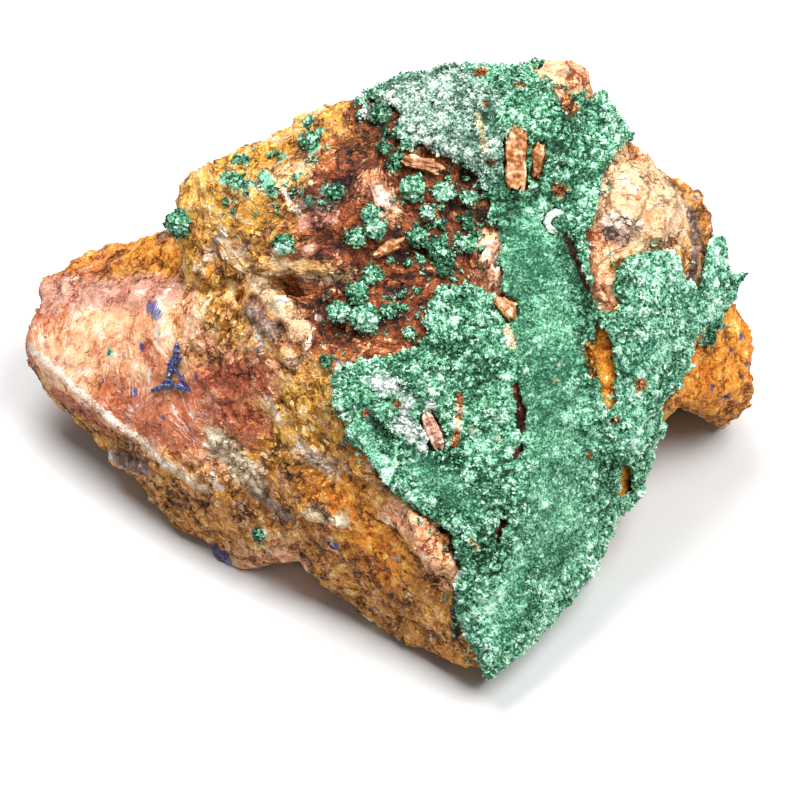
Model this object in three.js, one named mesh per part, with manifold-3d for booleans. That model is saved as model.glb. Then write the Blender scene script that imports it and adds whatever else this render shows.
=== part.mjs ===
// Azurite and malachite hand specimen: a broken lump of iron-stained barite rock with a crust
// of malachite, loose malachite rosettes, flat barite crystals and a spray of azurite.
// Millimetres, +Z up. The lump rests on flat ground rock at Z = 0.

import * as THREE from 'three';
import { ConvexGeometry } from 'three/addons/geometries/ConvexGeometry.js';
import { ImprovedNoise } from 'three/addons/math/ImprovedNoise.js';
import { TessellateModifier } from 'three/addons/modifiers/TessellateModifier.js';
import { mergeVertices } from 'three/addons/utils/BufferGeometryUtils.js';
import Module from 'manifold-3d';

const wasm = await Module();
wasm.setup();

// Driving dimensions

// A place on the lump is [right, up, near] in a picture plane that leans back by LEAN, the way
// a specimen is held up to be looked at; near is the height above that plane. REST_DEPTH is how
// far under the middle of the plane the ground lies.
const LEAN = THREE.MathUtils.degToRad(40);
const EYE_DISTANCE = 450;
const REST_DEPTH = 23;

const FACET_EDGE = 12.5;
const FACET_PASSES = 24;
const BROAD_RELIEF = { height: 0.9, size: 9 };
const FINE_RELIEF = { height: 0.45, size: 3.7 };

const GAP = 0.3;
// The middle of the lump's outline on the ground, which becomes the origin
const MIDDLE = [-1.6, 4.4];

const SLAB_BACK = -56;
const SLAB_FRONT = 18;

const CRUST_THICKNESS = 1.5;
const CRUST_BACK = -9;
const CRUST_CLEARANCE = 1.2;
const CRUST_KNOBS = 34;
const KNOB_RADIUS = [1.5, 2.5];
const KNOB_DEPTH = 0.6;
const KNOB_SPACING = 4;
const KNOB_FACING = 0.5;
const KNOB_SEED = 11;
const KNOB_RIGHT = [-9, 44];
const KNOB_UP = [-35, 43];

// Rosettes from this radius up have twelve sides. Lift and bumps are shares of the radius.
const LARGE_ROSETTE = 1.15;
const ROSETTE_LIFT = 0.25;
const ROSETTE_BUMPS = 0.3;

// Corners of a flat crystal with a slanted end and a chisel end, as shares of its half length
// and half width
const BLADE_SHAPE = [[-1, -0.7], [0.8, -1], [1, 0.1], [0.55, 1], [-0.85, 0.8]];
const BLADE_THICKNESS = 1.5;

// Across a ledge: how far out from its middle, how high and how far past its end, as shares of
// its width, its height and its width
const LEDGE_SHOULDER = { out: 1 / 3, rise: 0.6, past: 1 / 6 };
const LEDGE_CREST = { out: 1 / 8, rise: 1, past: -1 / 9 };
const LEDGE_FLARE = { out: 1 / 2, past: 1 / 3 };
const LEDGE_ROOT = 1.2;

const GROUND_SIDE = 200;
const GROUND_DEPTH = 40;

// The blocks of the rock. Each is the convex body of its seen corners [right, up, near] and its
// hidden corners [x, y, z], which are measured upright from the ground.
const BLOCKS = {
  green: {
    seen: [
      [12, -35, 6.5], [9, -26, 10.5], [5, -17, 12.5], [-2, -10, 13.5], [-6.5, 0, 13.5],
      [-8.5, 6.5, 11], [2.5, 7, 12], [13, 13, 12.5], [15, 1.5, 13.5], [14.5, -13, 12.5],
      [13, -21, 11], [21, 22, 8.5], [26, 9, 7.5], [26.5, -2.5, 5.5], [25.5, -18, -1],
      [20, -26.5, 3], [16.5, -31.5, 4.5], [31, -10.5, -2], [32, -4, -4], [31, 6.5, 3],
      [13, 27.5, 9.5], [2.5, 26, 7.5], [24.5, 26, 6],
    ],
    hidden: [
      [5, -22, -1], [12, -24, -1], [21, -14, -1], [28, -2, -1], [30, 22, -1], [0, 20, -1],
    ],
  },
  front: {
    seen: [
      [-8.5, 6.5, 11.5], [-6.5, 0, 14], [-2, -10, 14], [5, -17, 13], [9, -26, 11],
      [11.5, -35, 6], [5, -33.5, 1], [0, -31.5, -2], [-7, -26.5, -3], [-10, -19, 3],
      [-19.5, -12.5, -1], [-26, -10.5, -3], [-22, 9, 6], [-19.5, 16, 7], [-13, 13, 8],
    ],
    hidden: [
      [-21, -8, -1], [-14, -9, -1], [3, -19, -1], [10, -23, -1], [0, 15, -1], [-25, 15, -1],
    ],
  },
  hollow: {
    seen: [
      [-13, 15, 8], [-9.5, 6.5, 8.5], [-7, 4.5, 9.5], [3.5, 7, 10], [12.5, 13, 11],
      [12.5, 25.5, 10], [5, 32.5, 9.5], [0, 34, 8.5], [-7, 31, 8], [-9, 20, 7],
    ],
    hidden: [
      [-20, 10, 5], [-18, 30, 5], [10, 30, 5], [10, 0, 5],
    ],
  },
  wing: {
    seen: [
      [-49, 7, -17], [-46.5, 13, -18], [-46.5, 15.5, -21], [-43, 18, -22], [-36.5, 20.5, -20],
      [-28.5, 23, -15], [-44.5, 3.5, -14], [-38.5, -2, -10], [-33.5, -6, -7],
      [-26, -11.5, -3], [-36.5, 9, -7], [-30.5, 11, -2], [-21.5, 13, 5], [-19, 0, 4],
      [-48.5, 5, -19.5], [-45.5, 1, -20], [-41.5, -3, -20], [-38.5, -6, -19],
    ],
    hidden: [
      [-44, 14, 9], [-38, 20, 7], [-28, 30, 8], [-30, 8, 2], [-15, 15, 0],
    ],
  },
  shade: {
    seen: [
      [-33.5, -6, -7], [-26, -11.5, -3], [-19.5, -12.5, -1], [-10, -19, 3], [-7, -26.5, -3],
      [-38, -6.5, -19], [-37, -8, -19], [-32.5, -13, -16], [-29, -17, -14],
      [-26.5, -18, -13], [-12.5, -20.5, -9], [-18, -15.5, -5],
    ],
    hidden: [
      [-34, 6, 0], [-24, -4, -1], [-12, -8, -1], [-10, 10, -1],
    ],
  },
  foot: {
    seen: [
      [-24.5, -17.5, -13], [-24.5, -21, -12], [-21, -22.5, -11], [-15, -21.5, -11],
      [-12.5, -20, -9], [-13, -17, -6], [-22, -16, -10],
    ],
    hidden: [
      [-23, -8, -1], [-19, -9.5, -1], [-14, -8.5, -1], [-14, 0, -1], [-24, 0, -1],
    ],
  },
  ochre: {
    seen: [
      [-29, 27.5, -2], [-28, 29.5, -1], [-23, 32.5, 1], [-17.5, 34, 2], [-13, 36.5, 3],
      [-9, 38.5, 3], [-5, 40, 4], [-29, 21, -4], [-28, 15, -1], [-20, 15, 6],
      [-13, 18, 10], [-6.5, 17, 9], [-19.5, 26, 8], [-10.5, 28.5, 9.5], [0, 32.5, 9],
    ],
    hidden: [
      [-27, 30, 12], [-2, 38, 27], [-2, 37, 4], [-24, 28, 0], [-22, 14, 0], [0, 20, 5],
    ],
  },
  upper: {
    seen: [
      [-5, 39, 4], [-1.5, 41, 4], [4, 41.5, 4], [10.5, 42.5, 5], [19, 44.5, 6],
      [23, 44.5, 5], [24.5, 41.5, 5], [28, 34, 5], [32.5, 31.5, 3], [10.5, 34, 11],
      [21, 31.5, 10.5], [0, 35.5, 8.5], [13, 26, 10.5], [2.5, 24.5, 8], [26, 24.5, 8.5],
      [-7, 38.5, 4], [14, 19, 8], [23, 19, 6.5],
    ],
    hidden: [
      [-14, 34, 20], [4, 41, 24], [22, 40, 26], [18, 37, -1], [-14, 33, -1], [32, 32, 14],
      [31, 31, -1], [10, 10, 10],
    ],
  },
  lobe: {
    seen: [
      [20.5, 24, 10], [23.5, 21, 11.5], [25.5, 15, 12], [26.5, 6.5, 10.5], [26.5, 0, 9],
      [28.5, -8, 4], [27.5, 31, 9], [32.5, 31.5, 5], [38.5, 28, 1], [40, 24.5, 1],
      [41.5, 18, 0], [41.5, 14.5, 0], [40, 12, -1], [36.5, 5, -2], [34, 0.5, -4],
      [32, -2.5, -5], [31.5, -7, -5], [31, 26, 13], [34, 18, 11.5], [31, 9, 9.5],
      [31, 0, 4.5],
    ],
    hidden: [
      [30, 3, 0], [38, 14, 3], [38, 28, 12], [30, 35, 2], [20, 10, 10],
    ],
  },
  spur: {
    seen: [
      [42, 13.5, -6], [44.5, 10.5, -7], [46, 8, -9], [45.5, 3, -11], [46.5, 1.5, -12],
      [45.5, -0.5, -16], [43.5, -3, -25], [38, -1, -15], [34.5, -1.5, -9], [33, -4, -10],
      [39, 10.5, -3], [36.5, 2, -5],
    ],
    hidden: [
      [41, 18, -1], [40, 27, -1], [32, 26, -1], [32, 6, 0], [45, 24, 10], [42, 27, 16],
    ],
  },
};

// The outline of the bare rock, [right, up]. Where the crust covers it, it lies inside the
// finished outline by the thickness of the crust.
const ROCK_OUTLINE = [
  [-48.8, 7.6], [-46.6, 13.2], [-46.6, 15.6], [-40.4, 19.6], [-32.4, 20.8], [-30.2, 22.2],
  [-28.8, 24.4], [-28.8, 27.2], [-27.6, 29.4], [-22.8, 32.4], [-20.2, 32.6], [-14.4, 35.2],
  [-13, 36.6], [-5.4, 39.4], [-3.2, 38.8], [1.2, 41.2], [4, 41], [6.4, 42.2], [10.4, 42.2],
  [16.2, 41.4], [18.8, 44.2], [22.8, 44.2], [24.4, 43.2], [25.2, 38.4], [28.4, 34], [32.4, 31.8],
  [33.2, 30.2], [38.8, 27.2], [40.6, 21.8], [41.6, 18], [41.6, 14.4], [45.8, 8.2], [45.6, 2.8],
  [46.2, 1.6], [45.6, -0.4], [41.8, -3.6], [40, -2], [36.2, -0.4], [31.8, -4.2], [29.6, -12.4],
  [27.2, -13.6], [25.8, -16.6], [23.4, -22], [19.8, -26.4], [17.2, -28.8], [11, -34.8],
  [9.2, -34.8], [5.2, -33.2], [0, -31.4], [-3.2, -28.6], [-10.4, -23.4], [-13.2, -20.2],
  [-20.8, -22.2], [-24, -20.8], [-24.4, -18], [-27.2, -17.8], [-29.4, -16.6], [-32.4, -13],
  [-34, -9.8], [-37.6, -7.8], [-38.4, -5.8], [-41.6, -3.2], [-45.6, 1.2], [-48.4, 5],
];

// The edge of the crust, from its left end up round the brown hollow, over the top, down the
// left side of the cream barite, and back along the right and lower edges.
const CRUST_OUTLINE = [
  [-8.8, 3.2], [-7.2, 4.6], [-3.6, 5], [2.6, 7], [3.6, 9.2], [3.6, 12], [5, 14.6], [7.2, 14],
  [9.4, 15.2], [13.2, 13], [12.8, 18], [12.8, 24.4], [11, 26.6], [10.2, 29.2], [3.2, 33.6],
  [0.6, 32.4], [-1, 34.4], [0.2, 37.4], [-2, 38.8], [-4.4, 39], [-3.5, 43], [0, 45],
  [15.8, 46.5], [16.8, 43], [18.8, 41.4], [25.2, 39], [28, 41], [33, 37.2], [27.6, 32],
  [26.2, 28.6], [25, 22.8], [24, 21.4], [25, 13], [26, 11.4], [29.2, 12], [27.6, 14.4],
  [28, 17.2], [30.2, 18.8], [33.2, 19.6], [35.8, 19], [37, 15.6], [39, 14], [40.2, 20.4],
  [44.6, 22.6], [44.8, 14.4], [39.4, 9.4], [37.8, 7.2], [37.6, 5.2], [36.4, 2.2], [34.8, 0.8],
  [33.4, -1.6], [34.4, -5.2], [33.8, -9.8], [30.8, -14.6], [28.4, -15.6], [26.6, -20.8],
  [20.8, -30], [13.6, -37], [11.4, -37], [10.2, -33.2], [8.2, -30.6], [7.2, -27.6], [7.2, -25],
  [8.2, -22.8], [6.8, -19], [7, -17.2], [2.4, -14.6], [-1.8, -11], [-5.8, -5.2],
];

// Bare openings in the crust: two cracks down the front face and two patches of orange rock
const CRUST_OPENINGS = [
  [
    [15.2, 3.2], [15.8, 2.6], [15.4, 1], [16.4, -1.2], [16.2, -6.4], [15, -8],
    [14.4, -7.2], [15, -4], [15, -0.6], [14.4, 1],
  ],
  [
    [14, -11.2], [14.6, -12], [14.4, -14.4], [13.6, -17], [13, -19.2], [12.4, -18.8],
    [12.8, -16.2], [13.2, -13.6],
  ],
  [
    [25.2, 9.8], [26.8, 9.6], [27.6, 7.2], [28, 3.2], [28.2, 0.2], [27, -1.8],
    [26.2, 0.2], [25.4, 3.6],
  ],
  [
    [28.8, -8.6], [30, -8.6], [30, -12], [28.8, -13], [27.8, -12.4], [28.6, -11],
  ],
];

// Ledges and ridges of the rock: [right, up] of both ends, width and height
const LEDGES = [
  // ochre barite lens and the ribs beside the hollow
  [-18.5, 17.2, -7, 17.6, 2.2, 1.3],
  [-19.5, 12, -13, 4, 2, 0.9],
  [-16, 13.5, -14.5, 9.5, 1.8, 0.9],
  // white rim and brown lump under the left wing
  [-44.8, 3.8, -34, -5.6, 1.4, 0.6],
  [-36.8, -7.2, -33, -9, 2.6, 1.2],
  // fan ribs of the wing
  [-31, 12, -30.4, 3, 1.2, 0.5],
  [-26, 4, -20, -4, 1.6, 0.6],
  // knobs of the ochre block
  [-26.2, 17, -24.6, 16.4, 2.2, 1.2],
  [-11.2, 24, -9.8, 23, 2.2, 1],
  // clear quartz and pink barite along the front face
  [-12.2, -14.6, -10.2, -15.2, 2.6, 1.1],
  [-8.6, -15.4, -6.6, -16.2, 2.4, 1],
  [1.5, -16, 5, -21.5, 4, 1.1],
  // cream barite mass and the ridge that runs down from it
  [29.5, 29, 34, 23.5, 3.4, 1.2],
  [35.5, 26, 33, 20.8, 3, 1],
  [25, 21.5, 26.2, 13.5, 1.8, 1],
  // peach barite at the top
  [19.5, 43.2, 23.6, 42.6, 2.6, 1],
];

// Loose malachite rosettes: [right, up, radius]
const ROSETTES = [
  [-5, 38.4, 0.9], [-4.8, 37, 1], [-2.5, 37.2, 1.4], [-1.3, 34.8, 0.8],
  [-2, 32.5, 1], [-0.3, 30.9, 1], [1.7, 27.3, 1.5], [-3.6, 24.2, 1.2],
  [-3.2, 22.2, 1.3], [-5.8, 20.8, 1.2], [2.3, 20.8, 1.2], [5, 19.6, 1.3],
  [8.8, 20.2, 1.1], [9, 26, 1.1], [5.7, 26.8, 1.2], [8.6, 23, 1.1],
  [3.6, 24.2, 1], [6, 16.8, 1.1], [-3.6, 16, 1.2], [-5.4, 13.9, 1.4],
  [-7.9, 11.3, 1.3], [-4.6, 10.4, 1.7], [-1.6, 11.3, 1], [1.2, 8.4, 0.9],
  [-15, 20, 1.3], [-11.8, 33.7, 1.2], [-8.4, 26.9, 1.1], [-20.8, 31, 0.9],
  [-21.4, 28.3, 1], [-28.6, 23, 1.6], [-9.6, 4.8, 0.9], [-18, -17.6, 0.9],
];

// Flat barite crystals: [right, up], length, width and turn in degrees
const BLADES = [
  { at: [15, 31.4], length: 8, width: 3, turn: 92 },
  { at: [17.8, 31.2], length: 4.4, width: 1.5, turn: 84 },
  { at: [3, 30.5], length: 5, width: 1.8, turn: -14 },
  { at: [-2.8, 26.8], length: 3.8, width: 2.6, turn: -62 },
  { at: [-1.4, 19.7], length: 3.6, width: 1.7, turn: 30 },
  { at: [11.8, 18.8], length: 3.6, width: 1.9, turn: 68 },
  { at: [12.2, 15.6], length: 2.6, width: 2, turn: 88 },
  { at: [13.4, 11.9], length: 3.2, width: 2.2, turn: -38 },
  { at: [4.2, -4], length: 5, width: 2, turn: 112 },
];

// Arms of the azurite spray: [right, up] of both ends, width and height
const AZURITE_ARMS = [
  [-28.8, 7, -29.2, 4, 1.1, 0.9],
  [-29.4, 5, -29.9, 1.6, 1.3, 1],
  [-29.6, 2.4, -27.6, 1.4, 1, 0.8],
  [-30, 2, -32, 1.2, 1, 0.8],
  [-29.6, 3, -31.6, 2.8, 0.9, 0.7],
  [-29.2, 4.6, -28, 5.6, 0.8, 0.7],
];

// The pale curled crystal at the top of the ridge, a ring that is open to the right
const CURL = { at: [20.2, 23.4], outer: 1.7, inner: 0.8, height: 1.8, from: 0.9, to: 5.4 };
const CURL_STEPS = 3;

// Places and shapes

const stand = new THREE.Matrix4().makeRotationX(LEAN);

function place([right, up, near]) {
  const spread = 1 - near / EYE_DISTANCE;
  const point = new THREE.Vector3(right * spread, up * spread, near).applyMatrix4(stand);
  point.z += REST_DEPTH;
  return point;
}

function solidOf(geometry) {
  geometry.deleteAttribute('normal');
  geometry.deleteAttribute('uv');
  const merged = mergeVertices(geometry, 1e-4);
  return new wasm.Manifold(new wasm.Mesh({
    numProp: 3,
    vertProperties: merged.attributes.position.array,
    triVerts: new Uint32Array(merged.index.array),
  }));
}

function geometryOf(solid) {
  const { vertProperties, triVerts } = solid.getMesh();
  const geometry = new THREE.BufferGeometry();
  geometry.setAttribute('position', new THREE.BufferAttribute(vertProperties, 3));
  geometry.setIndex(new THREE.BufferAttribute(triVerts, 1));
  return geometry;
}

function joined(solids) {
  return solids.reduce((whole, solid) => whole.add(solid));
}

// The largest body of a solid, without the specks that joining and cutting leave beside it.
function largest(solid) {
  return solid.decompose().reduce((best, body) => (
    body.volume() > best.volume() ? body : best
  ));
}

// Relief

const noise = new ImprovedNoise();

function relief({ x, y, z }) {
  const wave = ({ height, size }) => height * noise.noise(x / size, y / size, z / size);
  return wave(BROAD_RELIEF) + wave(FINE_RELIEF);
}

// Cuts a geometry into small facets and moves each corner out along its normal.
function roughen(geometry, grow, height = relief) {
  const cut = new TessellateModifier(FACET_EDGE, FACET_PASSES).modify(geometry);
  cut.deleteAttribute('normal');
  cut.deleteAttribute('uv');
  const merged = mergeVertices(cut, 1e-3);
  merged.computeVertexNormals();
  const { position, normal } = merged.attributes;
  const point = new THREE.Vector3();
  const out = new THREE.Vector3();
  for (let i = 0; i < position.count; i++) {
    point.fromBufferAttribute(position, i);
    out.fromBufferAttribute(normal, i);
    point.addScaledVector(out, grow + height(point));
    position.setXYZ(i, point.x, point.y, point.z);
  }
  return merged;
}

// An upright wall along an outline of the picture plane, from back to front.
function slab(outline, back, front, holes = []) {
  const corners = (line) => line.map(([x, y]) => new THREE.Vector2(x, y));
  const shape = new THREE.Shape(corners(outline).reverse());
  shape.holes = holes.map((hole) => new THREE.Path(corners(hole)));
  const geometry = new THREE.ExtrudeGeometry(shape, {
    depth: front - back,
    bevelEnabled: false,
  });
  const { position } = geometry.attributes;
  for (let i = 0; i < position.count; i++) {
    const { x, y, z } = place([position.getX(i), position.getY(i), position.getZ(i) + back]);
    position.setXYZ(i, x, y, z);
  }
  return geometry;
}

function blockGeometry({ seen, hidden }) {
  const corners = hidden.map(([x, y, z]) => new THREE.Vector3(x, y, z));
  return new ConvexGeometry([...seen.map(place), ...corners]);
}

// An outline, clockwise as seen, moved outward by `grow` at every corner.
function widened(outline, grow) {
  const corners = outline.map(([x, y]) => new THREE.Vector2(x, y));
  return corners.map((corner, i) => {
    const before = corners.at(i - 1);
    const after = corners[(i + 1) % corners.length];
    const run = after.clone().sub(before).normalize();
    return [corner.x - run.y * grow, corner.y + run.x * grow];
  });
}

function blocksGrownBy(grow) {
  const blocks = Object.values(BLOCKS).map((block) => (
    solidOf(roughen(blockGeometry(block), grow))
  ));
  return joined(blocks)
    .intersect(solidOf(slab(widened(ROCK_OUTLINE, grow), SLAB_BACK, SLAB_FRONT)));
}

function ground(top) {
  const box = new THREE.BoxGeometry(GROUND_SIDE, GROUND_SIDE, GROUND_DEPTH);
  box.translate(0, 0, top - GROUND_DEPTH / 2);
  return solidOf(box);
}

// Things laid on the rock

const eye = place([0, 0, EYE_DISTANCE]);
const toEye = eye.clone().sub(place([0, 0, 0])).normalize();
const caster = new THREE.Raycaster();

// Where the line of sight through [right, up] first meets one of the hosts.
function landing(hosts, [right, up]) {
  caster.set(eye, place([right, up, 0]).sub(eye).normalize());
  const [hit] = caster.intersectObjects(hosts);
  return hit && { host: hit.object, point: hit.point, normal: hit.face.normal.clone() };
}

// A low ridge between two places, rooted in the rock.
function ledge(host, [right1, up1, right2, up2, width, height], grow = 0) {
  const start = landing([host], [right1, up1]);
  const end = landing([host], [right2, up2]);
  const normal = start.normal.clone().add(end.normal).normalize();
  const along = end.point.clone().sub(start.point).normalize();
  const side = normal.clone().cross(along).normalize();
  const corner = (from, sideways, outward, forward) => from.clone()
    .addScaledVector(side, sideways)
    .addScaledVector(normal, outward)
    .addScaledVector(along, forward);
  const points = [];
  const pushPair = (from, facing, { out, rise, past }) => {
    const outward = rise === undefined ? -LEDGE_ROOT : height * rise + grow;
    const forward = facing * (width * past + grow);
    points.push(corner(from, width * out + grow, outward, forward));
    points.push(corner(from, -width * out - grow, outward, forward));
  };
  for (const [from, facing] of [[start.point, -1], [end.point, 1]]) {
    pushPair(from, facing, LEDGE_FLARE);
    pushPair(from, facing, LEDGE_SHOULDER);
    pushPair(from, facing, LEDGE_CREST);
  }
  return solidOf(new ConvexGeometry(points));
}

// A lumpy ball that grows on the rock.
function rosette(host, [right, up, radius], grow = 0) {
  const { point, normal } = landing([host], [right, up]);
  const large = radius > LARGE_ROSETTE;
  const ball = large ? new THREE.DodecahedronGeometry(radius) : new THREE.IcosahedronGeometry(radius);
  ball.translate(...point.addScaledVector(normal, radius * ROSETTE_LIFT));
  const bumps = ({ x, y, z }) => (
    radius * ROSETTE_BUMPS * noise.noise(x / radius, y / radius, z / radius)
  );
  return solidOf(roughen(ball, grow, bumps));
}

// Turns a flat piece to lie on its host, with its X axis along `turn` as seen.
function layOn(geometry, host, at, turn, lift) {
  const { point, normal } = landing([host], at);
  const angle = THREE.MathUtils.degToRad(turn);
  const along = new THREE.Vector3(Math.cos(angle), Math.sin(angle), 0).applyMatrix4(stand);
  const side = normal.clone().cross(along).normalize();
  along.crossVectors(side, normal);
  const turned = new THREE.Matrix4().makeBasis(along, side, normal);
  geometry.applyMatrix4(turned.setPosition(point.addScaledVector(normal, lift)));
  return solidOf(geometry);
}

function blade(host, { at, length, width, turn }, grow = 0) {
  const halfLength = length / 2 + grow;
  const halfWidth = width / 2 + grow;
  const shape = new THREE.Shape(
    BLADE_SHAPE.map(([x, y]) => new THREE.Vector2(x * halfLength, y * halfWidth)),
  );
  const thick = BLADE_THICKNESS + 2 * grow;
  const geometry = new THREE.ExtrudeGeometry(shape, { depth: thick, bevelEnabled: false });
  return layOn(geometry, host, at, turn, GAP - grow);
}

function curl(host, grow = 0) {
  const { at, outer, inner, height, from, to } = CURL;
  const shape = new THREE.Shape();
  shape.absarc(0, 0, outer + grow, from, to);
  shape.absarc(0, 0, inner - grow, to, from, true);
  const geometry = new THREE.ExtrudeGeometry(shape, {
    depth: height + 2 * grow,
    bevelEnabled: false,
    curveSegments: CURL_STEPS,
  });
  return layOn(geometry, host, at, 0, GAP - grow);
}

// Knobs of the crust, scattered where the crust is seen, at least KNOB_SPACING apart.
function crustKnobs(crust, host) {
  THREE.MathUtils.seededRandom(KNOB_SEED);
  const between = (low, high) => low + (high - low) * THREE.MathUtils.seededRandom();
  const centres = [];
  const knobs = [];
  while (knobs.length < CRUST_KNOBS) {
    const hit = landing([crust, host], [between(...KNOB_RIGHT), between(...KNOB_UP)]);
    const radius = between(...KNOB_RADIUS);
    if (hit?.host !== crust || hit.normal.dot(toEye) < KNOB_FACING) {
      continue;
    }
    if (centres.some((centre) => centre.distanceTo(hit.point) < KNOB_SPACING)) {
      continue;
    }
    centres.push(hit.point);
    const ball = new THREE.DodecahedronGeometry(radius);
    ball.translate(...hit.point.clone().addScaledVector(hit.normal, -radius * KNOB_DEPTH));
    knobs.push(solidOf(ball));
  }
  return knobs;
}

// The specimen

const specimen = new THREE.Group();

function addPiece(name, solid, color, roughness) {
  const material = new THREE.MeshStandardMaterial({ color, roughness, metalness: 0 });
  const mesh = new THREE.Mesh(geometryOf(largest(solid)), material);
  mesh.name = name;
  specimen.add(mesh);
}

function numbered(name, index) {
  return `${name}_${String(index + 1).padStart(2, '0')}`;
}

const blocks = blocksGrownBy(0);
const bare = new THREE.Mesh(geometryOf(blocks));

// What grows on the blocks and is one solid with them.
function growths(grow) {
  return [
    ...LEDGES.map((item) => ledge(bare, item, grow)),
    ...ROSETTES.map((item) => rosette(bare, item, grow)),
  ];
}

const rock = joined([blocks, ...growths(0)]).subtract(ground(0));
const clearOfRock = joined([blocksGrownBy(GAP), ...growths(GAP)]);
addPiece('matrix', rock, '#a8701f', 0.85);

const skin = blocksGrownBy(CRUST_THICKNESS)
  .intersect(solidOf(slab(CRUST_OUTLINE, CRUST_BACK, SLAB_FRONT, CRUST_OPENINGS)));
const knobs = crustKnobs(new THREE.Mesh(geometryOf(skin)), bare);
const crust = joined([skin, ...knobs])
  .subtract(clearOfRock)
  .subtract(joined(BLADES.map((item) => blade(bare, item, GAP))))
  .subtract(curl(bare, GAP))
  .subtract(ground(CRUST_CLEARANCE));
addPiece('malachite_crust', crust, '#2f8f6b', 0.7);

BLADES.forEach((item, index) => {
  const crystal = blade(bare, item).subtract(clearOfRock);
  addPiece(numbered('barite_blade', index), crystal, '#d39a68', 0.55);
});

const arms = joined(AZURITE_ARMS.map((item) => ledge(bare, item)));
addPiece('azurite_spray', arms.subtract(clearOfRock), '#33418f', 0.35);

addPiece('pale_crystal', curl(bare).subtract(clearOfRock), '#d8d2c4', 0.4);

specimen.position.set(-MIDDLE[0], -MIDDLE[1], 0);

export default specimen;
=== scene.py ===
import math

import bmesh
import bpy
import numpy as np
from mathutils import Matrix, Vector, noise
from mathutils.bvhtree import BVHTree


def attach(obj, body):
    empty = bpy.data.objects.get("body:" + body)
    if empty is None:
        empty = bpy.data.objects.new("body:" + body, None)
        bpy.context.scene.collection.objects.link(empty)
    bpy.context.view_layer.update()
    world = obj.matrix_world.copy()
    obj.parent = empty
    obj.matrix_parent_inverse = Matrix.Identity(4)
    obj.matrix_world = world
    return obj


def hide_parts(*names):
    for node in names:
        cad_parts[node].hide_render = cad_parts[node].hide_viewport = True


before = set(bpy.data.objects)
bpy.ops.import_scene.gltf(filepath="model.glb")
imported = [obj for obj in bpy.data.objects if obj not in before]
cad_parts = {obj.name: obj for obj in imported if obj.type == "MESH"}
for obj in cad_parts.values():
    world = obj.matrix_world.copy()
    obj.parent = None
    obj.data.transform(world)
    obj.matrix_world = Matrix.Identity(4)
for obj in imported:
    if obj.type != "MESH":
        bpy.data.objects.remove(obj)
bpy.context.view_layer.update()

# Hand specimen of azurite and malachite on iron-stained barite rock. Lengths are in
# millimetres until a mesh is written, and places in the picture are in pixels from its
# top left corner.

MM = 0.001
SEED = 8
noise.seed_set(SEED)
PICTURE = 800

# How the specimen is looked at
LEAN = math.radians(40)
TARGET = Vector((1.6, -4.4, 23))
EYE_DISTANCE = 450
SEEN_WIDTH = 104
SENSOR = 36
RIGHT = Vector((1, 0, 0))
UP = Vector((0, math.cos(LEAN), math.sin(LEAN)))
TOWARDS_EYE = Vector((0, -math.sin(LEAN), math.cos(LEAN)))
EYE = TARGET + EYE_DISTANCE * TOWARDS_EYE

# Distance between the points of the fine meshes
ROCK_PITCH = 0.49
CRUST_PITCH = 0.325
BLADE_PITCH = 0.14
AZURITE_PITCH = 0.11
RING_PITCH = 0.1

# Height of the rock's relief
SWELL = 0.36
LEDGE = 0.3
FAR_LEDGE = 0.55
LATH_STEP = 0.26
LATH_LINE = 0.12
ROCK_GRIT = 0.26

# Height of the crust's relief
CRUST_SWELL = 0.25
LUMP = 0.46
KNOB = 0.34
CRUST_GRIT = 0.14

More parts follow.
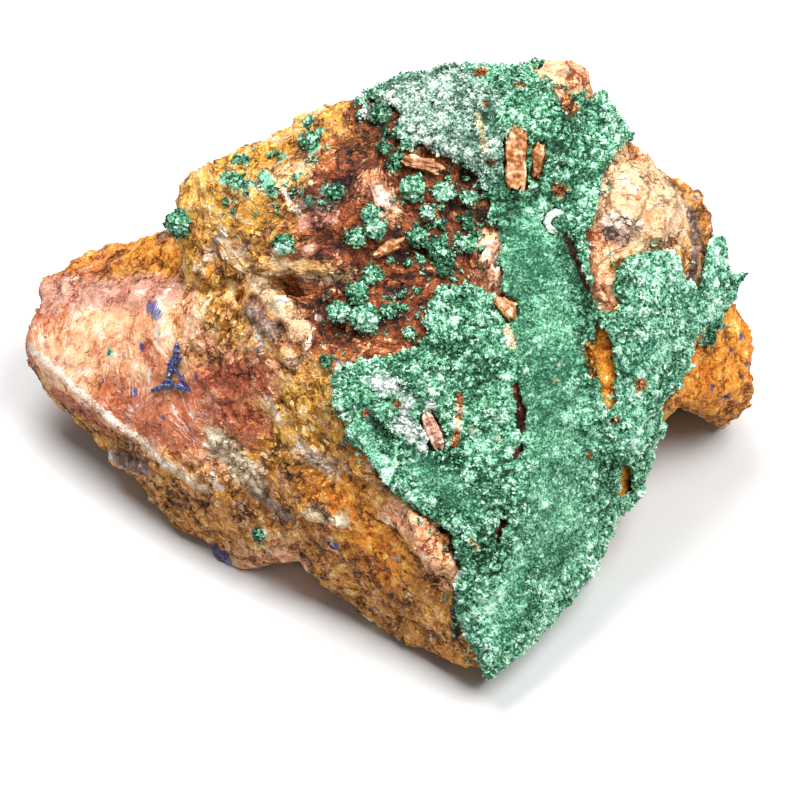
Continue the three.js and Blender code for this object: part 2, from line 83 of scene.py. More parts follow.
# Stains and minerals of the rock: dots (x, y, radius) and strokes (x, y, x, y, radius)
ROCK_ZONES = {
    "ochre": [
        (200, 205, 330, 145, 52), (190, 250, 300, 235, 42), (300, 125, 340, 112, 22),
        (230, 440, 300, 400, 34), (250, 350, 320, 420, 30),
    ],
    "goethite": [
        (348, 190, 450, 235, 60), (350, 265, 425, 330, 66), (368, 112, 398, 140, 24),
        (440, 200, 490, 250, 34), (400, 300, 430, 350, 34),
        (478, 165, 482, 262, 26), (312, 326, 362, 352, 24), (340, 250, 345, 300, 26),
        (515, 378, 520, 445, 12), (515, 450, 500, 540, 12),
    ],
    # dark iron ore in seams and cracks, plus painted shade under the step of the crust and in a band
    # below the lower-left ridge
    "dark_ore_and_shade": [
        (435, 524, 454, 533, 9), (454, 533, 452, 550, 9), (452, 550, 470, 575, 9),
        (485, 585, 496, 602, 9), (455, 593, 456, 640, 6), (490, 163, 11), (465, 175, 9),
        (484, 215, 10), (510, 205, 12), (564, 231, 589, 288, 8), (589, 288, 592, 330, 5),
        (30, 363, 93, 433, 6), (669, 355, 687, 360, 6), (512, 395, 520, 430, 5),
    ],
    "orange": [
        (50, 262, 168, 258, 22), (700, 405, 735, 335, 48), (599, 328, 602, 370, 16),
        (609, 376, 606, 412, 12), (614, 309, 8), (627, 472, 10), (622, 495, 12),
        (650, 196, 662, 226, 8), (616, 244, 634, 250, 6), (604, 225, 7), (204, 272, 9),
        (330, 500, 380, 560, 30), (200, 398, 9), (300, 560, 360, 600, 25),
    ],
    "cream": [
        (615, 165, 676, 205, 32), (610, 205, 655, 240, 26), (594, 240, 600, 300, 9),
        # the strokes from (27, 346) to (205, 488) give the lower-left ridge a pale rim that is partly a
        # painted highlight
        (27, 346, 56, 370, 8), (56, 370, 105, 414, 9), (105, 414, 150, 450, 9),
        (150, 450, 205, 488, 6), (176, 290, 160, 318, 9), (160, 318, 152, 345, 7),
        (60, 330, 140, 325, 34), (262, 268, 344, 272, 8), (283, 302, 7), (293, 361, 8),
        (400, 520, 412, 512, 6), (430, 555, 440, 575, 6), (300, 448, 330, 470, 10),
        (466, 147, 490, 160, 5), (502, 308, 9), (196, 268, 222, 236, 7),
        (45, 330, 120, 350, 24), (556, 66, 578, 68, 8), (230, 250, 300, 330, 9),
        (270, 180, 300, 170, 10),
    ],
    "salmon": [
        (55, 350, 150, 345, 40), (110, 380, 180, 425, 30), (205, 390, 262, 372, 26),
        (150, 420, 215, 450, 22), (400, 515, 425, 535, 15), (425, 540, 446, 580, 12),
        (694, 250, 690, 290, 12), (594, 236, 604, 300, 12), (640, 190, 648, 215, 8),
        (372, 184, 388, 210, 11), (492, 240, 496, 285, 11), (60, 385, 120, 430, 12),
        (120, 455, 150, 480, 10), (185, 300, 205, 340, 12), (552, 72, 585, 75, 16),
    ],
    "russet": [
        (115, 400, 180, 432, 24), (190, 400, 245, 425, 22), (205, 392, 262, 374, 20),
        (150, 350, 160, 372, 10), (60, 395, 100, 425, 10),
    ],
    "pink": [
        (48, 294, 166, 292, 17), (330, 216, 305, 222, 7), (309, 250, 6),
        (700, 412, 745, 415, 9),
    ],
    "violet": [
        (248, 308, 270, 332, 10), (607, 226, 621, 238, 8), (693, 216, 687, 292, 9),
        # the strokes at (246, 484) and (120, 458) lie under the lower-left ridge and paint the shade of
        # its underside
        (246, 484, 286, 516, 7), (120, 458, 146, 468, 9), (300, 200, 330, 205, 6),
    ],
    "quartz": [
        (215, 440, 252, 478, 13), (314, 516, 320, 517, 11), (341, 521, 9),
    ],
    "straw": [
        (262, 264, 330, 268, 6), (232, 196, 300, 176, 9), (230, 262, 262, 272, 6),
        (204, 300, 214, 330, 6),
    ],
    "chalk": [
        # the strokes from (27, 346) to (205, 488) give the lower-left ridge a pale rim that is partly a
        # painted highlight
        (171, 286, 159, 336, 7), (196, 268, 222, 236, 5), (27, 346, 56, 370, 6),
        (56, 370, 105, 414, 5), (105, 414, 150, 450, 6), (150, 450, 205, 488, 4),
        (283, 190, 300, 215, 4), (262, 470, 6), (606, 218, 640, 226, 9),
        (622, 176, 634, 190, 6), (300, 448, 330, 470, 5), (345, 470, 5), (283, 302, 6),
        (293, 361, 6), (318, 318, 5), (305, 345, 6), (330, 540, 5), (395, 560, 5),
        (380, 610, 4), (240, 505, 5), (410, 595, 5), (430, 640, 4),
        (212, 470, 222, 486, 5), (270, 400, 280, 416, 5), (250, 180, 262, 190, 4),
    ],
    "malachite": [
        (176, 215, 178, 228, 10), (262, 537, 4), (110, 352, 6), (225, 178, 250, 186, 9),
        (236, 158, 246, 160, 8), (262, 176, 272, 190, 10), (282, 158, 8), (284, 246, 9),
        (233, 211, 6), (308, 201, 7), (308, 122, 9), (319, 133, 8), (315, 150, 9),
        (345, 372, 365, 395, 12), (160, 333, 4), (254, 150, 4), (296, 178, 6), (325, 190, 7),
    ],
    "azurite": [
        (178, 344, 174, 368, 4), (174, 366, 164, 388, 4), (176, 372, 188, 390, 4),
        (197, 376, 5), (134, 393, 6), (85, 405, 6), (150, 306, 158, 314, 9), (142, 347, 5),
        (164, 417, 4), (720, 325, 6), (739, 336, 6), (746, 363, 6), (725, 397, 8),
        (741, 376, 4), (694, 198, 4), (339, 363, 4), (366, 311, 4), (214, 548, 226, 560, 8),
        (254, 332, 264, 342, 2.5), (264, 342, 258, 354, 2.5), (335, 546, 5), (730, 350, 4),
        (712, 388, 5), (248, 250, 4), (270, 555, 6),
    ],
}

# Stains on the sides that the picture doesn't show: how many, and the largest radius
HIDDEN_STAINS = {
    "ochre": (9, 9), "goethite": (11, 7), "orange": (7, 8), "cream": (14, 4), "salmon": (8, 6),
    "russet": (7, 6), "dark_ore_and_shade": (12, 1.8), "quartz": (5, 3.5), "violet": (5, 3.5),
    "straw": (6, 2.2), "chalk": (22, 1.6), "malachite": (16, 1.6), "azurite": (16, 0.9),
}

# Tints of the crust
CRUST_ZONES = {
    "frosted": [
        (372, 92, 392, 116, 13), (408, 95, 472, 150, 38), (440, 75, 480, 100, 26),
        (403, 425, 412, 432, 12), (408, 399, 9), (378, 383, 396, 388, 11),
        (430, 430, 428, 455, 9), (520, 200, 600, 220, 12),
    ],
    "velvet": [
        (520, 565, 508, 622, 20), (530, 250, 560, 400, 42), (545, 400, 560, 540, 44),
        (420, 470, 470, 500, 16), (360, 430, 380, 470, 12),
    ],
    # lighter green, partly painted light on the right lobe and the tip of the crust
    "mint": [
        (660, 285, 710, 260, 30), (650, 350, 700, 300, 34), (630, 400, 640, 440, 22),
        (475, 645, 505, 610, 32), (480, 450, 15), (350, 440, 380, 470, 14),
        (520, 560, 512, 620, 12), (600, 440, 640, 420, 16),
    ],
    # dark green in hollows of the crust; the stroke at (560, 235) is painted shadow under the step of
    # the crust
    "deep": [
        (432, 105, 8), (560, 235, 588, 300, 10), (500, 165, 515, 210, 12),
        (362, 400, 385, 450, 9), (540, 140, 560, 150, 8), (558, 219, 5),
    ],
    "white": [
        (403, 425, 412, 434, 9), (408, 400, 404, 412, 6), (378, 383, 392, 386, 8),
        (384, 376, 5), (430, 405, 422, 448, 6), (376, 100, 392, 108, 10),
        (366, 112, 372, 118, 8),
    ],
    "orange": [
        (599, 330, 601, 370, 15), (608, 376, 606, 412, 10), (614, 309, 7), (627, 472, 10),
        (622, 495, 12), (590, 350, 594, 372, 8),
    ],
    "peach": [
        (524, 66, 580, 66, 15), (560, 92, 6), (604, 240, 600, 300, 9),
    ],
    "rust": [
        (562, 90, 572, 108, 9), (575, 70, 590, 84, 7), (486, 102, 5), (480, 72, 7),
        (520, 84, 6), (590, 455, 5), (615, 420, 5), (640, 385, 7), (606, 540, 5),
        (660, 240, 5), (560, 190, 8), (398, 404, 5), (366, 412, 4),
        (460, 395, 455, 445, 4),
    ],
    "blond": [
        (508, 330, 512, 345, 5), (478, 290, 494, 304, 5), (472, 431, 3), (497, 438, 3),
        (560, 365, 3), (598, 372, 3), (478, 116, 486, 150, 4), (556, 380, 3),
        (470, 540, 476, 548, 4),
    ],
    # dark gaps in the crust; the stroke at (566, 236) is painted shadow under its step
    "gap_and_shade": [
        (521, 379, 515, 390, 4), (520, 408, 521, 440, 5), (515, 455, 512, 470, 4),
        (503, 525, 498, 546, 5), (490, 163, 5), (465, 175, 5), (484, 215, 5), (432, 103, 3),
        (438, 520, 452, 534, 6), (455, 540, 459, 580, 5), (566, 236, 588, 288, 5),
    ],
}

# Sprays of barite laths that show in the picture: the middle of each, and its root
SPRAYS = [
    (90, 350, 30, 400), (60, 300, 10, 302), (130, 292, 60, 300), (110, 258, 40, 290),
    (150, 380, 130, 430), (205, 375, 170, 395), (235, 355, 190, 392), (170, 330, 160, 400),
    (215, 330, 195, 390), (200, 420, 150, 400), (110, 410, 60, 370), (240, 300, 215, 340),
    (300, 269, 230, 268), (300, 330, 330, 260), (260, 390, 230, 330), (300, 430, 260, 360),
    (350, 490, 310, 410), (400, 580, 360, 500), (320, 540, 270, 480), (250, 470, 190, 430),
    (230, 530, 150, 470), (430, 620, 400, 560), (250, 170, 210, 230), (220, 240, 180, 190),
    (310, 150, 260, 190), (350, 110, 330, 170), (640, 195, 690, 230), (660, 170, 640, 240),
    (720, 370, 700, 300), (600, 240, 610, 310), (545, 66, 500, 90),
]

# So many more sprays cover the rest of the rock, with their roots this far off
MORE_SPRAYS = 120
ROOT_DISTANCE = (5, 11)

# Parts of the rock where splinters of barite stand out
BROKEN_PARTS = [
    (210, 250, 330, 300, 28), (190, 300, 300, 400, 22), (300, 430, 330, 500, 20),
    (285, 190, 330, 215, 16), (250, 440, 290, 480, 18), (400, 520, 440, 580, 14),
]

# Parts of the rock that are smoother than the rest
SMOOTH_FACES = [(45, 262, 170, 262, 28), (60, 340, 150, 330, 50), (100, 380, 180, 400, 40)]

# Loose rosettes of malachite: right, up and radius
ROSETTES = [
    (-5, 38.4, 0.9), (-4.8, 37, 1), (-2.5, 37.2, 1.4), (-1.3, 34.8, 0.8), (-2, 32.5, 1),
    (-0.3, 30.9, 1), (1.7, 27.3, 1.5), (-3.6, 24.2, 1.2), (-3.2, 22.2, 1.3),
    (-5.8, 20.8, 1.2), (2.3, 20.8, 1.2), (5, 19.6, 1.3), (8.8, 20.2, 1.1), (9, 26, 1.1),
    (5.7, 26.8, 1.2), (8.6, 23, 1.1), (3.6, 24.2, 1), (6, 16.8, 1.1), (-3.6, 16, 1.2),
    (-5.4, 13.9, 1.4), (-7.9, 11.3, 1.3), (-4.6, 10.4, 1.7), (-1.6, 11.3, 1),
    (1.2, 8.4, 0.9), (-15, 20, 1.3), (-11.8, 33.7, 1.2), (-8.4, 26.9, 1.1),
    (-20.8, 31, 0.9), (-21.4, 28.3, 1), (-28.6, 23, 1.6), (-9.6, 4.8, 0.9),
    (-18, -17.6, 0.9),
]

# Crumbs of malachite on the rock: how many, left, right, top, bottom and largest radius
LOOSE_CRUMBS = [
    (160, 390, 500, 155, 320, 0.7), (110, 318, 420, 290, 375, 0.45),
    (70, 212, 336, 145, 215, 0.6),
]

# Barite that is pinkish white rather than tan
PALE_BARITE = [
    (366, 183, 389, 210, 20), (490, 225, 494, 290, 18), (502, 308, 12), (432, 411, 426, 450, 34),
]

# Small things: how many places are tried and how many are kept, and sizes
GRAINS = (20000, 15500)
GRAIN_RADII = (0.12, 0.3)
TUFTS = (1500, 1050)
TUFT_RADII = (0.35, 0.8)
TUFT_FLAKES = 14
CRUMBS_TRIED = 9000
CRUMB_RADII = (0.15, 0.6)
CRUMB_FLAKES = 8
CHIPS = (6500, 4000)
CHIP_RADII = (0.08, 0.24)
SPLINTERS = (2400, 1500)
SPLINTER_LENGTHS = (0.3, 0.95)
SPLINTER_THICKNESSES = (0.06, 0.16)

# Length, width and thickness of a flake for a radius of 1, and how many kinds there are
FLAKE = np.array([1.25, 0.75, 0.4])
FLAKE_KINDS = 9

# Where a flake of a tuft stands, and its radius, for a tuft of radius 1
FLAKE_REACH = (0.55, 1.0)
FLAKE_RADII = (0.26, 0.46)

# Radius of the tuft on a dot of malachite, for a dot of one pixel
DOT_TUFT = 0.06

# The crust thins out to crumbs: how fast, and how far from its edge the last ones lie
CRUMB_SPREAD = 1.3
LAST_CRUMB = 5

# Up to this height the rock keeps the flat patch that it rests on
FLAT_HEIGHT = 0.6

# How far over the rock the crust counts as covering it, and the rock under the crust
CRUST_OVER = 2.2
CRUST_OVER_CHIPS = 2.5
ROCK_UNDER = 2.0

# Studio: white light from all round, soft lights (name, place, width, watts) and a floor
DAYLIGHT = 0.19
SOFTBOXES = [
    ("left_light", (-80, 120, 440), 230, 2.45), ("right_light", (190, -70, 400), 260, 2.4),
]
FLOOR_REACH = 2000
FLOOR_GREY = "#D4D4D4"


# Places

def sight(x, y):
    """Direction of the line of sight through a place in the picture."""
    side = (x - PICTURE / 2) * SEEN_WIDTH / PICTURE
    rise = (PICTURE / 2 - y) * SEEN_WIDTH / PICTURE
    return (TARGET + side * RIGHT + rise * UP - EYE).normalized()


def landing(tree, x, y):
    """Point and normal where the line of sight meets a surface, or None twice."""
    return tree.ray_cast(EYE, sight(x, y))[:2]


def covered_by(tree, point, normal, reach, start=0.0):
    """Whether a surface lies over a place, within reach along its normal."""
    way = Vector(normal)
    return tree.ray_cast(Vector(point) + start * way, way, reach)[0] is not None


def facing_eye(directions):
    """1 for a direction straight to the eye, -1 for one straight away from it."""
    return directions @ np.array(TOWARDS_EYE)


def per_point(points, value):
    """A value that is worked out for one point after the other."""
    return np.array([value(Vector(point)) for point in points])


def zone_field(points, tree, spots):
    """1 in the middle of a zone's spots, 0 at their rim, below 0 outside."""
    field = np.full(len(points), -1.0)
    for *place, radius in spots:
        start, _ = landing(tree, *place[:2])
        end, _ = landing(tree, *place[-2:])
        if start is None or end is None:
            continue
        run = np.array(end - start)
        from_start = points - np.array(start)
        share = np.clip(from_start @ run / max(run @ run, 1e-9), 0, 1)
        distance = np.linalg.norm(from_start - share[:, None] * run, axis=1)
        reach = radius * SEEN_WIDTH / PICTURE
        field = np.maximum(field, 1 - distance / reach)
    return field


# Relief

def wobble(point, *waves):
    """A shift that changes smoothly from place to place; a wave is its most and its width."""
    shift = Vector()
    for most, width in waves:
        shift += most * noise.noise_vector(point / width)
    return shift


def fractal(point, width, octaves=3):
    """Rough swells with finer ones on them."""
    return noise.fractal(point / width, 0.9, 2.1, octaves)


def ridges(point, width):
    """Sharp ledges, 1 on top, with hollows between them."""
    return 1 - 2 * abs(noise.noise(point / width))


def lumps(point, width):
    """Rounded lumps side by side, 1 on top and 0 in the gaps."""
    near, second = noise.voronoi(point / width)[0][:2]
    return min((second - near) * 1.6, 1.0)


# Meshes

def new_piece(name, mesh):
    """An object in the scene that shows a mesh."""
    piece = bpy.data.objects.new(name, mesh)
    bpy.context.scene.collection.objects.link(piece)
    return piece


def read(items, key, width=3):
    """One row of numbers for each item of a mesh."""
    values = np.empty(len(items) * width)
    items.foreach_get(key, values)
    return values.reshape(-1, width)


def mesh_points(mesh):
    return read(mesh.vertices, "co") / MM


def mesh_normals(mesh):
    return read(mesh.vertices, "normal")


def move_points(mesh, points):
    mesh.vertices.foreach_set("co", (points * MM).ravel())
    mesh.update()


def surface_tree(mesh):
    """For finding places on a mesh, in millimetres."""
    points = [Vector(point) for point in mesh_points(mesh)]
    return BVHTree.FromPolygons(points, [tuple(face.vertices) for face in mesh.polygons])


def merged_copy(node, name):
    """A copy of a solid's mesh, with the points of its loose triangles joined."""
    bm = bmesh.new()
    bm.from_mesh(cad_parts[node].data)
    bmesh.ops.remove_doubles(bm, verts=bm.verts, dist=0.002 * MM)
    mesh = bpy.data.meshes.new(name)
    bm.to_mesh(mesh)
    bm.free()
    return mesh


def remeshed(node, name, pitch, smoothings):
    """An evenly fine, slightly softened mesh of a solid's shape."""
    holder = new_piece(name + "_coarse", merged_copy(node, name + "_shape"))
    modifier = holder.modifiers.new("Remesh", "REMESH")
    modifier.mode = "VOXEL"
    modifier.voxel_size = pitch * MM
    seen = holder.evaluated_get(bpy.context.evaluated_depsgraph_get())
    fine = bpy.data.meshes.new_from_object(seen)
    fine.name = name
    bpy.data.objects.remove(holder)
    bm = bmesh.new()
    bm.from_mesh(fine)
    for _ in range(smoothings):
        bmesh.ops.smooth_vert(bm, verts=bm.verts, factor=0.5,
                              use_axis_x=True, use_axis_y=True, use_axis_z=True)
    bm.to_mesh(fine)
    bm.free()
    return fine


def write_values(mesh, values, owners=slice(None)):
    """Writes what a material reads: at each point, the values of the place it belongs to."""
    for name, value in values.items():
        kind, key = ("FLOAT_VECTOR", "vector") if value.ndim == 2 else ("FLOAT", "value")
        attribute = mesh.attributes.new(name, kind, "POINT")
        attribute.data.foreach_set(key, value[owners].astype(np.float32).ravel())


# Rock

ROCK_TREE = surface_tree(merged_copy("matrix", "rock_solid"))
CRUST_TREE = surface_tree(merged_copy("malachite_crust", "crust_solid"))
rock_mesh = remeshed("matrix", "rock", ROCK_PITCH, 2)
rock_points = mesh_points(rock_mesh)
rock_normals = mesh_normals(rock_mesh)
random = np.random.default_rng(SEED)

# Middle, radius and longest direction of the stains that the picture doesn't show
hidden_points = rock_points[facing_eye(rock_normals) < -0.1]
hidden_stains = {
    zone: [(middle, largest * random.uniform(0.4, 1.0), Vector(random.normal(size=3)).normalized())
           for middle in hidden_points[random.choice(len(hidden_points), size=count)]]
    for zone, (count, largest) in HIDDEN_STAINS.items()
}


def rock_zones(points):
    """Each zone's field, from its spots in the picture and its stains on the hidden sides,
    which are bent and longer than wide."""
    fields = {zone: zone_field(points, ROCK_TREE, spots) for zone, spots in ROCK_ZONES.items()}
    bent = points + per_point(points, lambda point: wobble(point, (3, 4.5), (1.5, 1.6)))
    for zone, stains in hidden_stains.items():
        for middle, radius, way in stains:
            apart = bent - middle
            apart -= 0.6 * (apart @ np.array(way))[:, None] * np.array(way)
            fields[zone] = np.maximum(fields[zone], 1 - np.linalg.norm(apart, axis=1) / radius)
    return fields


def spray_places():
    """Middles and roots of the sprays: those in the picture, then more all over the rock."""
    middles, roots = [], []
    for x, y, root_x, root_y in SPRAYS:
        middle, _ = landing(ROCK_TREE, x, y)
        if middle is not None:
            back = (root_x - x) * RIGHT + (y - root_y) * UP
            middles.append(np.array(middle))
            roots.append(np.array(middle) + np.array(back) * SEEN_WIDTH / PICTURE)
    others = random.choice(len(rock_points), size=MORE_SPRAYS, replace=False)
    side = np.cross(rock_normals[others], random.normal(size=(MORE_SPRAYS, 3)))
    side *= (random.uniform(*ROOT_DISTANCE, MORE_SPRAYS) / np.linalg.norm(side, axis=1))[:, None]
    more = rock_points[others]
    return np.concatenate([middles, more]), np.concatenate([roots, more + side])


spray_middles, spray_roots = spray_places()


def spray_coordinates(points):
    """Direction seen from the root of the nearest spray with the distance from it, the
    spray's number, and the way its laths run."""
    bent = points + 1.1 * per_point(points, lambda point: noise.noise_vector(point / 2.5))
    nearest = np.array([
        np.argmin(((spray_middles - place) ** 2).sum(axis=1)) for place in bent
    ])
    away = points - spray_roots[nearest]
    length = np.linalg.norm(away, axis=1)
    across = np.arctan2(away @ np.array(UP), away[:, 0])
    at = np.stack([across, facing_eye(away) / length, length], axis=1)
    return at, nearest, away / length[:, None]


spray, spray_index, _ = spray_coordinates(rock_points)
far_share = np.clip(0.1 - facing_eye(rock_normals), 0, 0.5) * 2
calm_share = np.clip(zone_field(rock_points, ROCK_TREE, SMOOTH_FACES) + 0.5, 0, 1)


def rock_height(i):
    """Swells, ledges, steps between laths with lines along them, and grit, all lower on the
    smooth faces, and larger ledges on the far sides."""
    point = Vector(rock_points[i])
    across, tip, reach = spray[i]
    # a lath is 1 mm wide and 4 mm long at 8 mm from the root, and each spray has its own
    lath = Vector((across * 8, tip * 5, reach * 0.25 + spray_index[i] * 7.3))
    rough = 0.25 + 0.75 * (1 - calm_share[i])
    height = SWELL * fractal(point, 5.5, octaves=4)
    height += LEDGE * rough * ridges(point + wobble(point, (1.2, 2.5)), 3.4)
    height += LATH_STEP * rough * (noise.cell(lath + wobble(point, (0.2, 1.5))) - 0.5)
    height += LATH_LINE * noise.noise(lath * 2.5)
    height += ROCK_GRIT * rough * fractal(point, 1.1)
    height += far_share[i] * (FAR_LEDGE * ridges(point + wobble(point, (3, 6)), 7.5) - 0.25)
    return height


def rock_values(points, at, relief, calm):
    """What the rock's material reads."""
    return {**rock_zones(points), "spray": at, "relief": relief, "calm": calm}


# Relief is low where the crust hides the rock, and there is none where it rests
rock_heights = np.array([rock_height(i) for i in range(len(rock_points))])
hidden = [covered_by(CRUST_TREE, p, n, CRUST_OVER, 0.05) for p, n in zip(rock_points, rock_normals)]
lift = rock_heights * np.where(hidden, 0.15, 1.0)
lift[rock_points[:, 2] < FLAT_HEIGHT] = 0
move_points(rock_mesh, rock_points + rock_normals * lift[:, None])
write_values(rock_mesh, rock_values(rock_points, spray, rock_heights, calm_share))
rock = new_piece("rock", rock_mesh)

# Malachite crust

crust_mesh = remeshed("malachite_crust", "malachite_crust_relief", CRUST_PITCH, 4)
crust_points = mesh_points(crust_mesh)
crust_normals = mesh_normals(crust_mesh)


def behind(point):
    """How far a point lies behind the first surface that the eye meets and above the ground,
    from 0 to 1."""
    way = Vector(point) - EYE
    reach = [tree.ray_cast(EYE, way.normalized())[3] for tree in (ROCK_TREE, CRUST_TREE)]
    first = min((length for length in reach if length is not None), default=way.length)
    return min(max((way.length - first - 3) / 4, 0), 1) * min(max((point[2] - 2) / 4, 0), 1)


def malachite_values(points, tree, relief, tone):
    """What the malachite's material reads."""
    zones = {zone: zone_field(points, tree, spots) for zone, spots in CRUST_ZONES.items()}
    return {**zones, "relief": relief, "tone": tone}


def crust_height(point, velvet):
    """Lumps and knobs with grit on them over slow swells, flatter where it is velvety."""
    lump = lumps(point + wobble(point, (0.4, 0.9)), 1.6)
    knob = lumps(point + wobble(point, (0.2, 0.4)), 0.8)
    raised = (1 - 0.5 * velvet) * (LUMP * lump + KNOB * knob - 0.3) - 0.08 * velvet
    return CRUST_SWELL * fractal(point, 4.5, octaves=2) + raised + CRUST_GRIT * fractal(point, 0.5)


# The picture doesn't show where the crust ends on the far sides: its edge wanders there,
# along the rock
wander = np.array([behind(p) * wobble(Vector(p), (4.5, 5), (2, 1.8)) for p in crust_points])
under = per_point(crust_points, lambda point: ROCK_TREE.find_nearest(point)[1])
wander -= (wander * under).sum(axis=1)[:, None] * under
crust_points = crust_points + wander
velvet = zone_field(crust_points, CRUST_TREE, CRUST_ZONES["velvet"])
velvet_share = np.clip(velvet * 1.5 + 0.2, 0, 1)
crust_heights = np.array([crust_height(Vector(p), v) for p, v in zip(crust_points, velvet_share)])
move_points(crust_mesh, crust_points + crust_normals * crust_heights[:, None])
no_tone = np.zeros(len(crust_points))
write_values(crust_mesh, malachite_values(crust_points, CRUST_TREE, crust_heights, no_tone))
crust = new_piece("malachite_crust_relief", crust_mesh)


# Small things strewn over a surface

def small_block(seed):
    """Points and faces of a chip with flat, slanted sides."""
    bm = bmesh.new()
    bmesh.ops.create_cube(bm, size=1.7)
    offset = Vector((seed * 5.9, 1.3, 3.1))
    for vertex in bm.verts:
        vertex.co += 0.45 * noise.noise_vector(vertex.co * 1.3 + offset)
    bmesh.ops.triangulate(bm, faces=bm.faces)
    bm.verts.index_update()
    points = np.array([vertex.co[:] for vertex in bm.verts])
    faces = np.array([[vertex.index for vertex in face.verts] for face in bm.faces])
    bm.free()
    return points, faces


flakes = [small_block(seed) for seed in range(FLAKE_KINDS)]


def strewn(name, centres, normals, sizes, along=None):
    """One mesh of many flakes, each turned about its normal at random or so that it lies
    along a direction. Gives the number of the place that each point belongs to as well."""
    count = len(centres)
    helper = random.normal(size=(count, 3)) if along is None else along
    side = np.cross(normals, helper)
    side /= np.linalg.norm(side, axis=1)[:, None]
    axes = np.stack([side, np.cross(normals, side), normals], axis=2)
    choice = random.integers(len(flakes), size=count)
    all_points, all_faces, owners, start = [], [], [], 0
    for kind, (points, faces) in enumerate(flakes):
        chosen = np.flatnonzero(choice == kind)
        local = points[None] * sizes[chosen][:, None, :]
        placed = np.einsum("nij,nkj->nki", axes[chosen], local) + centres[chosen][:, None, :]
        shift = start + np.arange(len(chosen)) * len(points)
        all_points.append(placed.reshape(-1, 3))
        all_faces.append((faces[None] + shift[:, None, None]).reshape(-1, faces.shape[1]))
        owners.append(np.repeat(chosen, len(points)))
        start += len(chosen) * len(points)
    mesh = bpy.data.meshes.new(name)
    mesh.from_pydata((np.concatenate(all_points) * MM).tolist(), [], np.concatenate(all_faces).tolist())
    return new_piece(name, mesh), np.concatenate(owners)


def scatter(mesh, count, weight):
    """Points and normals spread over a mesh, more where weight is high, each with one of
    the mesh's own points beside it."""
    centres = read(mesh.polygons, "center") / MM
    facing = read(mesh.polygons, "normal")
    share = read(mesh.polygons, "area", 1)[:, 0] * weight(centres, facing)
    picked = random.choice(len(share), size=count, replace=False, p=share / share.sum())
    corners = np.array([mesh.polygons[int(number)].vertices[0] for number in picked])
    return centres[picked], facing[picked], corners


def free_places(mesh, tried, wanted, weight, cover, reach):
    """The first of the scattered places that another surface doesn't lie over."""
    centres, facing, corners = scatter(mesh, tried, weight)
    free = np.array([not covered_by(cover, c, f, reach) for c, f in zip(centres, facing)])
    return centres[free][:wanted], facing[free][:wanted], corners[free][:wanted]


def tilted(facing, amount):
    """Normals leant over at random."""
    leant = facing + amount * random.normal(size=facing.shape)
    return leant / np.linalg.norm(leant, axis=1)[:, None]


# Grains of malachite over the crust, more in its velvety middle and finer there

def outward(centres, facing):
    bare = [zone_field(centres, CRUST_TREE, CRUST_ZONES[zone]) for zone in ("orange", "peach", "gap_and_shade")]
    velvet = zone_field(centres, CRUST_TREE, CRUST_ZONES["velvet"])
    share = np.where(np.max(bare, axis=0) > 0.1, 0.04, 1.0) * np.where(velvet > 0, 1.5, 1.0)
    return np.where(facing_eye(facing) > -0.6, 1.0, 0.15) * share


centres, facing, corners = free_places(crust_mesh, *GRAINS, outward, ROCK_TREE, ROCK_UNDER)
radius = random.uniform(*GRAIN_RADII, len(centres)) * (1 - 0.35 * velvet_share[corners])
sizes = radius[:, None] * FLAKE * random.uniform(0.75, 1.25, (len(centres), 3))
# one grain in twenty is made much lighter as a painted glint
tone = random.normal(0.0, 0.14, len(centres)) + (random.random(len(centres)) > 0.95) * 0.5
grains, owners = strewn("malachite_grains", centres, tilted(facing, 0.8), sizes)
# the crust's relief under each grain makes it darker in the gaps: painted shade
relief = crust_heights[corners]
write_values(grains.data, malachite_values(centres, CRUST_TREE, relief, tone), owners)


# Larger tufts of malachite

def on_lumpy_parts(centres, facing):
    fields = [zone_field(centres, CRUST_TREE, CRUST_ZONES[zone]) for zone in ("velvet", "deep")]
    return outward(centres, facing) * np.where(np.maximum(*fields) > -0.2, 0.08, 1.0)


def tuft(centre, normal, size, shade, count):
    """Flakes that stand out all round from one middle: the place, direction, radius, shade
    and relief of each."""
    rows = []
    for _ in range(count):
        away = Vector(random.normal(size=3)).normalized()
        if away.dot(normal) < -0.2:
            away.negate()
        reach = random.uniform(*FLAKE_REACH)
        # a flake that points outwards gets a higher relief, which the material paints lighter, and one
        # that points inwards darker: painted light and shade
        rows.append((*(centre + away * size * reach), *away, size * random.uniform(*FLAKE_RADII),
                     shade + random.normal(0, 0.15), 0.42 * reach * away.dot(normal) - 0.08))
    return rows


def tufts_of_flakes(name, tree, rows):
    centres, facing, radius, tone, rise = np.split(np.array(rows), (3, 6, 7, 8), axis=1)
    sizes = radius * FLAKE[::-1] * random.uniform(0.8, 1.3, (len(rows), 3))
    piece, owners = strewn(name, centres, tilted(facing, 0.35), sizes)
    write_values(piece.data, malachite_values(centres, tree, rise[:, 0], tone[:, 0]), owners)
    return piece


def crust_tufts():
    """Tufts half sunk in the crust, with painted light that makes them lighter on its lumps."""
    rows = []
    places = free_places(crust_mesh, *TUFTS, on_lumpy_parts, ROCK_TREE, ROCK_UNDER)
    for centre, normal, corner in zip(*places):
        size = random.uniform(*TUFT_RADII)
        # lighter where the crust stands higher: painted light
        shade = random.normal(-0.05, 0.1) + 0.5 * crust_heights[corner]
        middle = Vector(centre) - 0.4 * size * Vector(normal)
        rows += tuft(middle, Vector(normal), size, shade, TUFT_FLAKES)
    return rows


